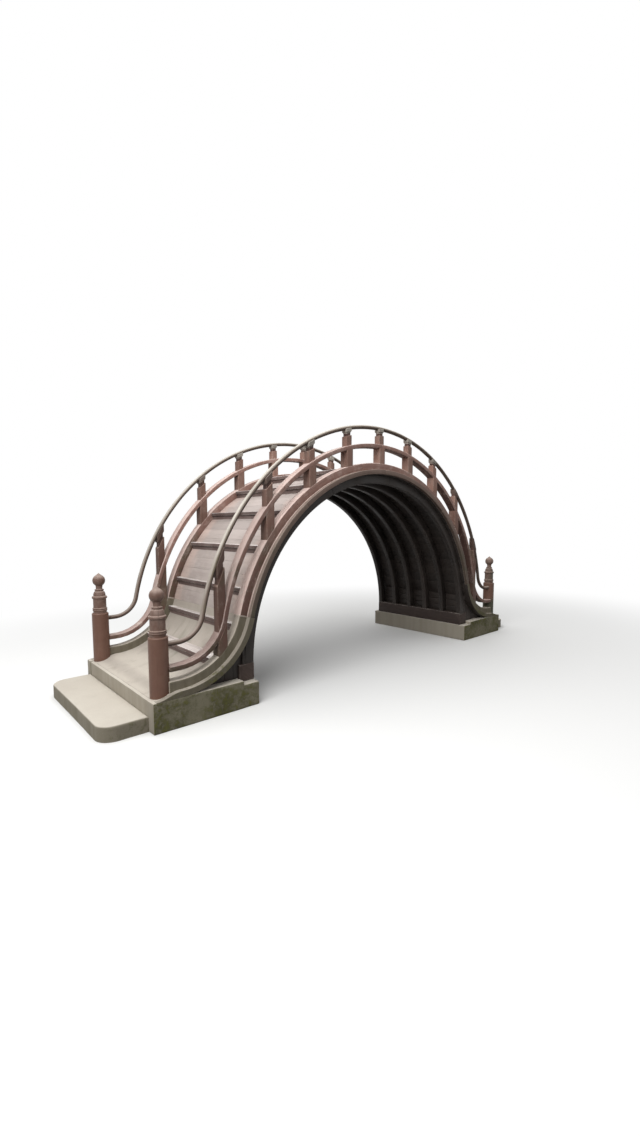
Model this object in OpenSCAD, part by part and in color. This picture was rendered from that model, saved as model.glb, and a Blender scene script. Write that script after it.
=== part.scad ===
// Moon bridge: a drum-shaped garden footbridge whose timber arch stands on concrete abutments.
// X runs along the bridge, Y across it, Z is up. The origin is on the ground under the crown.
// Every curved piece is one of two nested families of curves, each a big arc that turns at a
// tangent point into a small reverse arc and then runs level to the landing.

/* [Walkway] */
// Radius of the walking surface at the crown
deck_r = 2110; // [1800:10:2600]
// Height of the arch's centre above the ground
deck_centre_z = 390; // [380:5:460]
// Radius of the reverse curve that eases the walkway onto a landing
deck_ease_r = 750; // [600:10:850]
// Width over the outer faces of the edge boards
walk_w = 1860; // [1400:10:2400]
// Thickness of the transverse deck boards
deck_t = 55; // [40:1:70]
// Thickness of the edge board that covers the ends of the deck boards
edge_t = 45; // [25:1:60]

/* [Kerb and railing] */
// Distance from the edge board's face in to the kerb's face
kerb_inset = 56; // [20:1:80]
// Width of the kerb
kerb_w = 115; // [80:1:160]
// Height of the kerb above the deck
kerb_h = 85; // [50:1:140]
// Height of the top rail's centreline above the deck at the crown
rail_h = 518; // [480:1:600]
// How much higher than the walkway's the centre of the railing's arc lies
rail_lift = 75; // [40:5:100]
// Radius of the top rail's reverse curve
rail_ease_r = 260; // [200:10:330]
// Height above the landing at which the top rail's centreline meets the newel
rail_end_h = 477; // [460:1:500]
// Diameter of the round top rail
rail_d = 50; // [36:1:70]
// Drop from the top rail's centreline to the top of the middle rail
mid_drop = 200; // [150:5:240]
// Thickness of the middle rail
mid_t = 50; // [25:1:60]
// Width of the middle rail
mid_w = 110; // [50:1:120]

/* [Posts] */
// Distance from the outermost post's middle to where the railing turns into its reverse curve
post_margin = 185; // [100:5:400]
// How much further right the far side's posts stand than the near side's
far_post_shift = 130; // [0:5:130]
// Number of posts on each side of the crown post
posts_per_slope = 4; // [2:1:4]
// Length of a lower post along the bridge
low_post_l = 100; // [70:1:140]
// Side of the square upper post
up_post_w = 84; // [50:1:110]
// Height of the bearing block under the top rail's centreline
block_h = 62; // [50:1:90]
// How far the block's edges stay below the top rail's centreline
block_lip = 6; // [4:1:15]
// Clearance between the top rail and the cradle in its block
cradle_gap = 0.4; // [0.2:0.1:1]
// Height of the neck between an upper post and its bearing block
neck_h = 27; // [4:1:40]
// Side of the square neck
neck_w = 62; // [40:1:80]

/* [Newels] */
// Distance from the end of the walkway's reverse curve to a newel's centre
newel_run = 151; // [140:1:220]
// Radius of a newel post
newel_r = 87; // [60:1:95]
// Height of the newel's plain post
newel_post_h = 551; // [450:1:700]
// Chamfer round the top of the newel post
newel_bevel = 8; // [2:1:14]

/* [Finials] */
// Radius of the sleeve above the post
sleeve_r = 68; // [45:1:80]
// Height of the groove between post and sleeve
groove_h = 24; // [10:1:40]
// Height of the pair of rings at the foot of the sleeve
ring_pair_h = 35; // [20:1:50]
// Height of the plain sleeve
sleeve_h = 106; // [60:1:160]
// Height of the broad collar on the sleeve
collar_h = 27; // [15:1:40]
// How far the collar stands out from the sleeve
collar_out = 11; // [4:1:18]
// Height of the dome on the collar
dome_h = 57; // [40:1:60]
// Radius of the ring on the dome
lip_r = 48; // [35:1:56]
// Height of the ring on the dome
lip_h = 20; // [10:1:30]
// Radius of the neck below the bulb
bulb_neck_r = 33; // [20:1:40]
// Height of the neck that shows below the bulb
bulb_neck_h = 40; // [10:1:60]
// Radius of the onion-shaped bulb
bulb_r = 63; // [45:1:75]
// Height of the bulb's point above the middle of the bulb
bulb_tip_h = 85; // [75:1:120]
// Radius at which the bulb's sides turn up to the point
tip_r = 42; // [30:1:44]
// How far the pair of rings stands out from the sleeve
ring_pair_out = 7; // [3:1:12]
// How far the ring on the dome stands out from it
lip_out = 6; // [2:1:12]

/* [Arch frame] */
// Number of arched ribs
rib_count = 6; // [4:1:6]
// Thickness of a rib across the bridge
rib_w = 70; // [45:1:100]
// Depth of a rib under the deck
rib_depth = 105; // [60:1:120]
// Distance from the edge board's face in to the outer rib
outer_rib_gap = 90; // [60:1:160]
// Height of the sill beam that the ribs stand on
sill_h = 180; // [120:5:220]
// Length of the sill beam along the bridge
sill_l = 182; // [140:5:200]
// How far the sill stands out in front of the ribs
sill_proud = 5; // [5:1:40]
// Thickness of the boards that line the back of the ribs
lining_t = 30; // [15:1:45]
// Thickness of a side panel under the flare
cheek_t = 40; // [20:1:60]
// How far a side panel lies behind the outer rib's face
cheek_back = 22; // [5:1:40]

/* [Treads] */
// Number of treads on each slope of the timber arch
treads_per_slope = 5; // [3:1:5]
// Angle between treads in degrees, at the arch's centre
tread_angle = 13; // [9:0.1:13.2]
// Angle in degrees from the crown to the first tread
crown_tread_angle = 18.7; // [17:0.1:20]
// Longest run of a tread board
tread_l = 240; // [150:5:300]
// Thickness of a tread board
tread_t = 40; // [25:1:60]
// Height of the riser under a tread board
riser_h = 46; // [30:1:60]
// Thickness of the riser
riser_t = 28; // [15:1:40]
// How far the board stands out in front of its riser
nosing = 20; // [5:1:30]
// Distance from the arch's end to the first riser on the concrete flare
foot_tread_run = 63; // [40:1:120]
// Distance from that riser to the second one on the flare
foot_tread_pitch = 280; // [200:5:320]

/* [Abutments] */
// Height of a landing above the ground
landing_h = 280; // [200:5:360]
// Distance from a newel's centre to the front of the landing
landing_lip = 120; // [95:5:200]
// Height of the lower step
step_h = 140; // [100:5:180]
// Depth of the lower step along the bridge
step_l = 410; // [300:5:600]
// Width of the lower step
step_w = 1640; // [1000:10:1800]
// Radius of the lower step's outer corners
step_corner_r = 150; // [50:5:250]
// Length of the toe that feathers the flare out onto the landing
toe_l = 240; // [120:5:260]
// How far the sill's seat lies below the landing
sill_seat = 40; // [5:1:60]

/* [Hidden] */
$fn = 720;
turned_fn = 96;

timber = "#8a5a4c";
dark_timber = "#3a2c28";
weathered = "#a39f90";
concrete = "#b9b2a6";

// Where the walkway's reverse curve has its centre and ends
foot_z = landing_h + deck_t;
ease_cz = foot_z + deck_ease_r;
ease_x = sqrt(pow(deck_r + deck_ease_r, 2) - pow(ease_cz - deck_centre_z, 2));
// The same for the railing, which meets the newels level
rail_r = deck_r + rail_h - rail_lift;
rail_centre_z = deck_centre_z + rail_lift;
rail_ease_cz = landing_h + rail_end_h + rail_ease_r;
rail_ease_x = sqrt(pow(rail_r + rail_ease_r, 2) - pow(rail_ease_cz - rail_centre_z, 2));
// Angle above the level at which each family turns into its reverse curve
deck_turn = atan2(ease_cz - deck_centre_z, ease_x);
rail_turn = atan2(rail_ease_cz - rail_centre_z, rail_ease_x);
post_span = rail_r * cos(rail_turn) - post_margin;
foot_tread_x = deck_r * cos(deck_turn) + foot_tread_run;
foot_tread_xs = [foot_tread_x, foot_tread_x + foot_tread_pitch];
newel_x = ease_x + newel_run;
landing_x = newel_x + landing_lip;

walk_y = walk_w / 2;
kerb_y = walk_y - kerb_inset;
rail_y = kerb_y - kerb_w / 2;
newel_y = kerb_y - newel_r;
rib_y = walk_y - outer_rib_gap;
under_r = deck_r - deck_t;
rib_in_r = under_r - rib_depth;
sill_z = landing_h - sill_seat;
sill_x = rib_in_r - sill_proud;
// Half of the angle that the crown length of the deck spans
crown_angle = 26;
mid_top = -mid_drop;
mid_under = mid_top - mid_t;
// Far enough to cut right through whatever is being trimmed
reach = 400;
// How far a piece laps into the one that it is joined to, and how much thinner it is there
lap = 2;
lap_fit = 0.1;

post_xs = [for (k = [-posts_per_slope : posts_per_slope]) k * post_span / posts_per_slope];
far_post_xs = [for (x = post_xs) x + far_post_shift];

// Height of the curve of arc radius r1 (centre z1) and reverse radius r2 at the distance x
function curve_z(x, r1, z1, r2, x2, z2) =
    abs(x) < r1 * x2 / (r1 + r2)
        ? z1 + sqrt(r1 * r1 - x * x)
        : z2 - sqrt(max(0, r2 * r2 - pow(min(abs(x), x2) - x2, 2)));
function deck_z(x, t) =
    curve_z(x, deck_r + t, deck_centre_z, deck_ease_r - t, ease_x, ease_cz);
function rail_z(x, t) =
    curve_z(x, rail_r + t, rail_centre_z, rail_ease_r - t, rail_ease_x, rail_ease_cz);

// Rise of the top rail at the distance x, in degrees
function rail_rise(x) = atan2(rail_z(x + 1, 0) - rail_z(x - 1, 0), 2);

// Part of a flat ring between two radii and two angles
module ring_sector(r0, r1, a0, a1) {
    far = 2 * r1;
    intersection() {
        difference() {
            circle(r = r1);
            if (r0 > 0) circle(r = r0);
        }
        polygon(concat([[0, 0]], [for (i = [0 : 4])
            let(a = a0 + (a1 - a0) * i / 4) far * [cos(a), sin(a)]]));
    }
}

// Side views of a band between the offsets t0 and t1 of the walkway's curve: the arc, which is
// timber, the reverse curve, which is concrete, and both
module deck_arc(t0, t1, a0 = deck_turn, a1 = 180 - deck_turn) {
    translate([0, deck_centre_z]) ring_sector(deck_r + t0, deck_r + t1, a0, a1);
}
module deck_ease(t0, t1) {
    translate([-ease_x, ease_cz])
        ring_sector(deck_ease_r - t1, deck_ease_r - t0, 270, 360 - deck_turn);
}
module deck_band(t0, t1) {
    deck_arc(t0, t1);
    deck_ease(t0, t1);
    mirror([1, 0]) deck_ease(t0, t1);
}

// The same for the railing, with level ends. The reverse curves lap into the arc, and fit makes
// them that much thinner where they do, so that the lap is a true joint.
module rail_band(t0, t1, fit = 0) {
    lap_a = lap / rail_ease_r * 180 / PI;
    translate([0, rail_centre_z])
        ring_sector(rail_r + t0, rail_r + t1, rail_turn, 180 - rail_turn);
    for (side = [0, 1]) mirror([side, 0]) {
        translate([-rail_ease_x, rail_ease_cz])
            ring_sector(rail_ease_r - t1 + fit, rail_ease_r - t0 - fit, 270, 360 - rail_turn + lap_a);
        translate([-newel_x, rail_ease_cz - rail_ease_r + t0 + fit])
            square([newel_x - rail_ease_x, t1 - t0 - 2 * fit]);
    }
}

// Stands a side view upright and gives it a width across the bridge, from y0 to y1
module across(y0, y1) {
    translate([0, y1, 0]) rotate([90, 0, 0]) linear_extrude(y1 - y0) children();
}
module across_pair(y0, y1) {
    across(y0, y1) children();
    across(-y1, -y0) children();
}
module far_side() { mirror([0, 1, 0]) children(); }
module right_end() { mirror([1, 0, 0]) children(); }

// Concrete: landing, with the foundation that reaches in under the flare to the sill
module abutment_left() {
    color(concrete) across(-walk_y, walk_y) difference() {
        translate([-landing_x, 0]) square([landing_x - sill_x, landing_h]);
        translate([-sill_x - sill_l, sill_z]) square([sill_l + 1, landing_h]);
    }
}

module step_left() {
    color(concrete) linear_extrude(step_h) difference() {
        translate([-landing_x - step_l, -step_w / 2]) square([step_l, step_w]);
        for (s = [-1, 1]) translate([-landing_x - step_l, s * step_w / 2]) difference() {
            square(2 * step_corner_r, center = true);
            translate([step_corner_r, -s * step_corner_r]) circle(r = step_corner_r);
        }
    }
}

// The flare: a cast slab in the reverse curve, whose toe feathers out onto the landing between
// and outside the curbs
module flare_left() {
    color(concrete) difference() {
        union() {
            across(-walk_y, walk_y) deck_ease(-deck_t, 0);
            across(-kerb_y + kerb_w, kerb_y - kerb_w) toe();
            across_pair(kerb_y, walk_y) toe();
        }
        newel_clearance();
    }
}
module toe() {
    low = landing_h + lap_fit;
    high = foot_z - lap_fit;
    polygon([[-ease_x - toe_l, landing_h], [-ease_x, landing_h], [-ease_x, low],
        [-ease_x + lap, low], [-ease_x + lap, high], [-ease_x, high]]);
}

// Concrete curbs on the flare, which run level to the newels
module curbs_left() {
    color(concrete) difference() {
        across_pair(kerb_y - kerb_w, kerb_y) {
            deck_ease(0, kerb_h);
            translate([-newel_x, landing_h]) square([newel_x - ease_x, deck_t + kerb_h]);
        }
        newel_clearance();
    }
}

module newel_clearance() {
    for (sx = [-1, 1], sy = [-1, 1])
        translate([sx * newel_x, sy * newel_y, 0]) cylinder(r = newel_r, h = rail_r);
}

module sill_left() {
    color(dark_timber) across(-rib_y, rib_y) sill_section();
}
module sill_section() {
    translate([-sill_x - sill_l, sill_z]) square([sill_l, sill_h]);
}

module rib(i) {
    pitch = (2 * rib_y - rib_w) / (rib_count - 1);
    y0 = -rib_y + (i - 1) * pitch;
    color(dark_timber) across(y0, y0 + rib_w) difference() {
        translate([0, deck_centre_z]) ring_sector(rib_in_r, under_r, -deck_turn, 180 + deck_turn);
        translate([-deck_r, -deck_r]) square([2 * deck_r, deck_r + sill_z + sill_h]);
    }
}

// Boards behind the feet of the ribs, from the sill up to the underside of the flare
module lining_left() {
    color(dark_timber) across(-rib_y, rib_y) difference() {
        translate([-under_r - lining_t, sill_z + sill_h]) square([lining_t, ease_cz - sill_z - sill_h]);
        translate([-ease_x, ease_cz]) circle(r = deck_ease_r + deck_t);
    }
}

// Panels that close the sides of the hollow under the flare
module cheeks_left() {
    y1 = rib_y - cheek_back;
    x1 = under_r + lining_t;
    color(dark_timber) across_pair(y1 - cheek_t, y1) difference() {
        translate([-ease_x, landing_h]) square([ease_x - x1, ease_cz - landing_h]);
        translate([-ease_x, ease_cz]) circle(r = deck_ease_r + deck_t);
        sill_section();
    }
}

// Transverse boards, in three lengths that meet end to end
module deck_length(a0, a1) {
    color(timber) across(-walk_y + edge_t, walk_y - edge_t) deck_arc(-deck_t, 0, a0, a1);
}

module edge_board_near() {
    color(timber) across(-walk_y, -walk_y + edge_t) deck_arc(-deck_t, 0);
}

module kerb_near() {
    color(timber) across(-kerb_y, -kerb_y + kerb_w) deck_arc(0, kerb_h);
}

// Side view of one tread, whose riser stands on the deck at the point x, z
module tread_profile(x, z) {
    translate([x - nosing, z + riser_h]) square([tread_l, tread_t]);
    translate([x, z - riser_t]) square([riser_t, riser_h + riser_t]);
}

// Level tread boards on short risers, cut to fit the curve of the deck. The lowest ones stand on
// the flare.
module treads_left() {
    y1 = kerb_y - kerb_w;
    color(timber) across(-y1, y1) difference() {
        union() {
            for (x = foot_tread_xs) tread_profile(-x, deck_z(x, 0));
            for (k = [0 : treads_per_slope - 1]) let(a = crown_tread_angle + k * tread_angle)
                tread_profile(-deck_r * sin(a), deck_centre_z + deck_r * cos(a));
        }
        deck_band(-reach, 0);
    }
}

module low_posts(xs) {
    color(timber) across(-kerb_y, -kerb_y + kerb_w) for (x = xs) difference() {
        let(z0 = deck_z(x, kerb_h) - reach / 2, z1 = rail_z(x, mid_under) + reach / 2)
            translate([x - low_post_l / 2, z0]) square([low_post_l, z1 - z0]);
        deck_band(kerb_h - reach, kerb_h);
        rail_band(mid_under, mid_under + reach);
    }
}

module mid_rail_near() {
    color(timber) difference() {
        across(-rail_y - mid_w / 2, -rail_y + mid_w / 2) rail_band(mid_under, mid_top, lap_fit);
        newel_clearance();
    }
}

// Side view of what lies more than drop below the top rail, square to it at the distance x
module under_rail(x, drop) {
    translate([x, rail_z(x, 0)]) rotate(rail_rise(x))
        translate([-2 * reach, -drop - 4 * reach]) square(4 * reach);
}

// Upper posts stand on the middle rail, and a neck carries the block that cradles the top rail
module upper_posts(xs) {
    color(timber) for (x = xs) {
        across(-rail_y - up_post_w / 2, -rail_y + up_post_w / 2) intersection() {
            translate([x - up_post_w / 2, 0]) square([up_post_w, 2 * rail_r]);
            rail_band(mid_top, 0);
            under_rail(x, block_h + neck_h);
        }
        across(-rail_y - neck_w / 2, -rail_y + neck_w / 2) difference() {
            intersection() {
                translate([x - neck_w / 2, 0]) square([neck_w, 2 * rail_r]);
                under_rail(x, block_h);
            }
            under_rail(x, block_h + neck_h);
        }
    }
}

module rail_blocks(xs) {
    color(weathered) difference() {
        across(-rail_y - up_post_w / 2, -rail_y + up_post_w / 2) for (x = xs) difference() {
            intersection() {
                translate([x - up_post_w / 2, 0]) square([up_post_w, 2 * rail_r]);
                rail_band(-2 * block_h, -block_lip);
            }
            under_rail(x, block_h);
        }
        rail_arc(rail_d + 2 * cradle_gap);
    }
}

module rail_arc(d) {
    translate([0, -rail_y, rail_centre_z]) rotate([90, 0, 0]) rotate(rail_turn)
        rotate_extrude(angle = 180 - 2 * rail_turn) translate([rail_r, 0]) circle(d = d, $fn = 24);
}

// The round rail along its centreline: an arc, with reverse arcs and level ends let into it
module round_rail() {
    lap_a = lap / rail_ease_r * 180 / PI;
    rail_arc(rail_d);
    translate([0, -rail_y, 0]) {
        for (side = [0, 1]) mirror([side, 0, 0]) {
            translate([rail_ease_x, 0, rail_ease_cz]) rotate([90, 0, 0])
                rotate(180 + rail_turn - lap_a) rotate_extrude(angle = 90 - rail_turn + lap_a)
                    translate([rail_ease_r, 0]) circle(d = rail_d - 2 * lap_fit, $fn = 24);
            translate([rail_ease_x - lap, 0, rail_ease_cz - rail_ease_r]) rotate([0, 90, 0])
                cylinder(d = rail_d - 4 * lap_fit, h = newel_x - rail_ease_x + lap, $fn = 24);
        }
    }
}
module top_rail_near() {
    color(weathered) difference() {
        round_rail();
        newel_clearance();
    }
}

module newel() {
    rotate_extrude($fn = turned_fn) {
        square([newel_r, newel_post_h - newel_bevel]);
        polygon([[0, newel_post_h - newel_bevel], [newel_r, newel_post_h - newel_bevel],
            [newel_r - newel_bevel, newel_post_h], [0, newel_post_h]]);
    }
}
module newels_left() {
    color(timber) for (s = [-1, 1]) translate([-newel_x, s * newel_y, landing_h]) newel();
}

// The turned cap: groove, rings, sleeve, collar, dome, lip, neck and pointed bulb
module finial() {
    z1 = groove_h + ring_pair_h;
    z2 = z1 + sleeve_h;
    z3 = z2 + collar_h;
    z4 = z3 + dome_h;
    z5 = z4 + lip_h;
    z6 = z5 + sqrt(bulb_r * bulb_r - bulb_neck_r * bulb_neck_r) + bulb_neck_h;
    rotate_extrude($fn = turned_fn) {
        square([sleeve_r, z2]);
        translate([0, groove_h]) square([sleeve_r + ring_pair_out, ring_pair_h]);
        translate([0, z2]) square([sleeve_r + collar_out, collar_h]);
        translate([0, z3]) square([lip_r - lip_out, dome_h]);
        translate([0, z4]) square([lip_r, lip_h]);
        translate([0, z5]) square([bulb_neck_r, z6 - z5]);
        translate([0, z6]) intersection() {
            circle(r = bulb_r);
            translate([0, -bulb_r]) square(2 * bulb_r);
        }
        translate([0, z6]) polygon([[0, 0],
            [tip_r, sqrt(bulb_r * bulb_r - tip_r * tip_r)], [0, bulb_tip_h]]);
    }
}
module finials_left() {
    color(timber) for (s = [-1, 1])
        translate([-newel_x, s * newel_y, landing_h + newel_post_h]) finial();
}

abutment_left();
right_end() abutment_left();  // abutment_right
step_left();
right_end() step_left();  // step_right
flare_left();
right_end() flare_left();  // flare_right
curbs_left();
right_end() curbs_left();  // curbs_right
sill_left();
right_end() sill_left();  // sill_right
rib(1);  // rib_1
rib(2);  // rib_2
rib(3);  // rib_3
rib(4);  // rib_4
rib(5);  // rib_5
rib(6);  // rib_6
lining_left();
right_end() lining_left();  // lining_right
cheeks_left();
right_end() cheeks_left();  // cheeks_right
deck_length(90 + crown_angle, 180 - deck_turn);  // deck_left
deck_length(90 - crown_angle, 90 + crown_angle);  // deck_crown
deck_length(deck_turn, 90 - crown_angle);  // deck_right
edge_board_near();
far_side() edge_board_near();  // edge_board_far
kerb_near();
far_side() kerb_near();  // kerb_far
treads_left();
right_end() treads_left();  // treads_right
low_posts(post_xs);  // lower_posts_near
far_side() low_posts(far_post_xs);  // lower_posts_far
mid_rail_near();
far_side() mid_rail_near();  // mid_rail_far
upper_posts(post_xs);  // upper_posts_near
far_side() upper_posts(far_post_xs);  // upper_posts_far
rail_blocks(post_xs);  // rail_blocks_near
far_side() rail_blocks(far_post_xs);  // rail_blocks_far
top_rail_near();
far_side() top_rail_near();  // top_rail_far
newels_left();
right_end() newels_left();  // newels_right
finials_left();
right_end() finials_left();  // finials_right
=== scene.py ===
# %% [markdown]
# # A drum-shaped garden bridge
# This lesson dresses the plain model of a steep arched footbridge. The plain model is a fixed
# frame: it says where every piece is, and nothing in it moves. We lay finer pieces over it, each
# worked out as a surface in numpy, and give each a finish that is built from nodes. The bridge is
# timber in its arch and concrete at its feet.

# %% Load the plain model
import math
import bpy
import numpy as np
from mathutils import Matrix, Vector
from numpy import concatenate as join
from numpy.linalg import norm


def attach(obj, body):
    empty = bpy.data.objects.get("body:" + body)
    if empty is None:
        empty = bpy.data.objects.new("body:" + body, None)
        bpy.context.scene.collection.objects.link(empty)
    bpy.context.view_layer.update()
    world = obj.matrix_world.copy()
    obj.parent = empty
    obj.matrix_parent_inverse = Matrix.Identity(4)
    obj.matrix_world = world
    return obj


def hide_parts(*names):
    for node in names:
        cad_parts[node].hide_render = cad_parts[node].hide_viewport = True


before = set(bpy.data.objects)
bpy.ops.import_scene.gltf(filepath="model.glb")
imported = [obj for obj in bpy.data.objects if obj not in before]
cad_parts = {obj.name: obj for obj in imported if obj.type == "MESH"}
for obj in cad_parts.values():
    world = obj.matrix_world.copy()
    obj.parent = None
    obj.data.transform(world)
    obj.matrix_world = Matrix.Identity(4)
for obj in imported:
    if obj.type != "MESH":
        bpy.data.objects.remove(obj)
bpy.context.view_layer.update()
scene = bpy.context.scene

# %% [markdown]
# ## Camera
# The camera stands at eye height to the left of the bridge and looks across it. Its place was
# fitted to the four newels and the two families of curves. A shift lens isn't needed, because the
# photograph was taken with the camera tipped down a little.

# %% Camera
EYE = (-4.609, -4.795, 1.805)
YAW, PITCH, ROLL = (math.radians(a) for a in (42.13, 5.11, -0.11))
SENSOR_MM, LENS_MM = 36, 14.897


def aimed(at, ahead):
    """The matrix of a camera or lamp that stands at one point and looks along ahead, its top up."""
    return Matrix.Translation(at) @ Vector(ahead).to_track_quat("-Z", "Y").to_matrix().to_4x4()


ahead = (math.sin(YAW) * math.cos(PITCH), math.cos(YAW) * math.cos(PITCH), -math.sin(PITCH))
camera = bpy.data.objects.new("camera", bpy.data.cameras.new("camera"))
scene.collection.objects.link(camera)
camera.matrix_world = aimed(EYE, ahead) @ Matrix.Rotation(ROLL, 4, "Z")
camera.data.sensor_fit = "VERTICAL"
camera.data.sensor_height = SENSOR_MM
camera.data.lens = LENS_MM
scene.camera = camera
print("camera at", EYE)

# %% [markdown]
# ## Two families of curves
# Everything curved on the bridge belongs to one of two nested families. Seen from the side each is
# a big arc, a small reverse arc at either end, and a level run to the newel. A curve drawn by eye
# would drift from the frame, so we compute it: the distance from the crown along it gives the place
# and the slope, and a piece outside or inside it is the same formula with another radius.

# %% The curves
class Curve:
    """An arc of radius big about (0, centre_z), a reverse arc of radius small whose centre lies at
    the height ease_z, then level."""

    def __init__(self, big, centre_z, small, ease_z):
        self.big, self.centre_z, self.small, self.ease_z = big, centre_z, small, ease_z
        self.ease_x = math.sqrt((big + small) ** 2 - (ease_z - centre_z) ** 2)
        self.lean = math.atan2(self.ease_x, ease_z - centre_z)
        self.arc_end = big * self.lean
        self.ease_end = self.arc_end + small * self.lean

    def at(self, s):
        """Place x, z and slope a at the distance s from the crown. On the arc a is s over the
        radius; on the reverse arc it falls back to nothing; on the level it is nothing."""
        side, s = np.sign(s), np.abs(s)
        a = np.clip(np.minimum(s, self.arc_end) / self.big, 0, self.lean)
        a = a - np.clip(s - self.arc_end, 0, self.ease_end - self.arc_end) / self.small
        x = np.where(s < self.arc_end, self.big * np.sin(a), self.ease_x - self.small * np.sin(a))
        z = np.where(s < self.arc_end, self.centre_z + self.big * np.cos(a),
                     self.ease_z - self.small * np.cos(a))
        return side * (x + np.maximum(0, s - self.ease_end)), z, side * a

    def height(self, x, out=0.0):
        """Height at the distance x from the middle, for the curve that lies out outside this."""
        x = np.minimum(np.abs(x), self.ease_x)
        big, small = self.big + out, self.small - out
        arc = self.centre_z + np.sqrt(np.maximum(0, big ** 2 - x ** 2))
        ease = self.ease_z - np.sqrt(np.maximum(0, small ** 2 - (self.ease_x - x) ** 2))
        return np.where(x < big * self.ease_x / (self.big + self.small), arc, ease)

    def reach(self, z):
        """Distance from the middle at which the curve has the height z: height() turned round."""
        arc = np.sqrt(np.maximum(0, self.big ** 2 - (z - self.centre_z) ** 2))
        ease = self.ease_x - np.sqrt(np.maximum(0, self.small ** 2 - (self.ease_z - z) ** 2))
        return np.where(z > self.centre_z + self.big * math.cos(self.lean), arc, ease)


walk = Curve(2.110, 0.390, 0.750, 1.085)
railing = Curve(2.553, 0.465, 0.260, 1.017)
print("to the end of the reverse arc:", [round(c.ease_end, 3) for c in (walk, railing)], "m")

# %% [markdown]
# ## Sizes
# These are the sizes of the frame in metres, named as the carpenter would name them. Y runs across
# the bridge, so each of these half widths holds on both sides.

# %% Sizes
LANDING_Z, DECK_T, EDGE_T = 0.280, 0.055, 0.045
WALK_Y, KERB_Y, KERB_W, KERB_H = 0.930, 0.874, 0.115, 0.085
RAIL_Y = KERB_Y - KERB_W / 2
NEWEL_R, NEWEL_H, NEWEL_RUN, NEWEL_SETBACK = 0.087, 0.551, 0.151, 0.120
NEWEL_X, NEWEL_Y = walk.ease_x + NEWEL_RUN, KERB_Y - NEWEL_R
LANDING_X = NEWEL_X + NEWEL_SETBACK
RAIL_D, MID_DROP, MID_T, MID_W = 0.050, 0.200, 0.050, 0.110
POST_L, POST_W, BLOCK_H, NECK_H, NECK_W = 0.100, 0.084, 0.062, 0.027, 0.062
RIB_W, RIB_DEPTH, RIB_Y, RIB_COUNT = 0.070, 0.105, 0.840, 6
UNDER_R = walk.big - DECK_T
SILL_Z, SILL_H, SILL_L, SILL_LEDGE = 0.240, 0.180, 0.182, 0.005
SILL_X = UNDER_R - RIB_DEPTH - SILL_LEDGE
LINING_T, CHEEK_T, CHEEK_BACK = 0.030, 0.040, 0.022
POSTS_PER_SLOPE, POST_MARGIN, FAR_POST_SHIFT = 4, 0.185, 0.130
post_span = railing.big * math.sin(railing.lean) - POST_MARGIN
post_xs = np.arange(-POSTS_PER_SLOPE, POSTS_PER_SLOPE + 1) * post_span / POSTS_PER_SLOPE
ENDS = ((-1, "left"), (1, "right"))
SIDES = ((-1, "near"), (1, "far"))
print("posts every", round(post_xs[-1] - post_xs[-2], 3), "m; newels at", round(NEWEL_X, 3))

# %% [markdown]
# ## One way to make a piece
# Nearly every piece here is a closed outline carried along a path: a board, a rail, a turned post.
# Blender's curves with a bevel object can do that, but they give no say over single rings. So the
# rings of points are one array, and `loft` skins them. Each skin carries a map in metres, so that
# a finish runs with the grain even round a bend, and three numbers: `tone`, which differs from
# board to board, `edge`, which is 1 along the edges that rub first, and `sun`, which is 1 on the
# outside of the drum, where rain and light fall all day, and -1 on its inside. The finishes paint
# light where `sun` is high and paint shade where it is low.

# %% Skin over rings
draw = np.random.default_rng(7)
GRAIN_SHIFT = 40


def unit(v):
    return v / (norm(v) + 1e-9)


def signed_volume(points, quads):
    """Six times the volume inside the skin: the sum of the corners' triple products."""
    a, b, c, d = (points[quads[:, k]] for k in range(4))
    return (np.cross(b - a, c - a) * a).sum() + (np.cross(c - a, d - a) * a).sum()


def loft(rings, edge=0.0, tone=None, sun=0.0):
    """Skin over closed rings, rings[i, j] being point j of ring i, with a face on the first and
    last. The grain map runs along the rings' middles and round the longest ring, and starts at a
    place of its own, so that no two boards look alike."""
    n, p, _ = rings.shape
    points = rings.reshape(-1, 3)
    i, j = np.divmod(np.arange((n - 1) * p), p)
    k = (j + 1) % p
    quads = np.stack([i * p + j, i * p + k, (i + 1) * p + k, (i + 1) * p + j], -1)
    middles = rings.mean(1)
    along = join([[0], np.cumsum(norm(np.diff(middles, axis=0), axis=1))])
    fat = rings[np.argmax(norm(rings - middles[:, None], axis=2).sum(1))]
    girth = join([[0], np.cumsum(norm(np.roll(fat, -1, 0) - fat, axis=1))])
    uv = np.stack([along[np.stack([i, i, i + 1, i + 1], -1)],
                   girth[np.stack([j, j + 1, j + 1, j], -1)]], -1)
    ends, end_uv = [], []
    for ring, order in ((rings[0], np.arange(p)[::-1]), (rings[-1], np.arange(p))):
        out = ring - ring.mean(0)
        axis = unit(out[0])
        other = unit(np.cross(np.cross(out[0], out[p // 4]), axis))
        ends.append(order)
        end_uv.append(np.stack([out @ axis, out @ other], -1)[order])
    ends[1] = ends[1] + (n - 1) * p
    if signed_volume(points, quads) < 0:
        quads, uv = quads[:, ::-1], uv[:, ::-1]
        ends, end_uv = [e[::-1] for e in ends], [w[::-1] for w in end_uv]
    uv = join([uv.reshape(-1, 2), *end_uv]) + draw.uniform(0, GRAIN_SHIFT, 2)
    return dict(points=points, corners=join([quads.ravel(), *ends]),
                sizes=np.repeat([4, p], [len(quads), 2]), uv=uv,
                edge=np.tile(np.broadcast_to(edge, p), n), sun=np.tile(np.broadcast_to(sun, p), n),
                tone=np.full(len(points), draw.random() if tone is None else tone))


print("every skin's grain starts anywhere within", GRAIN_SHIFT, "m")

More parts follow.
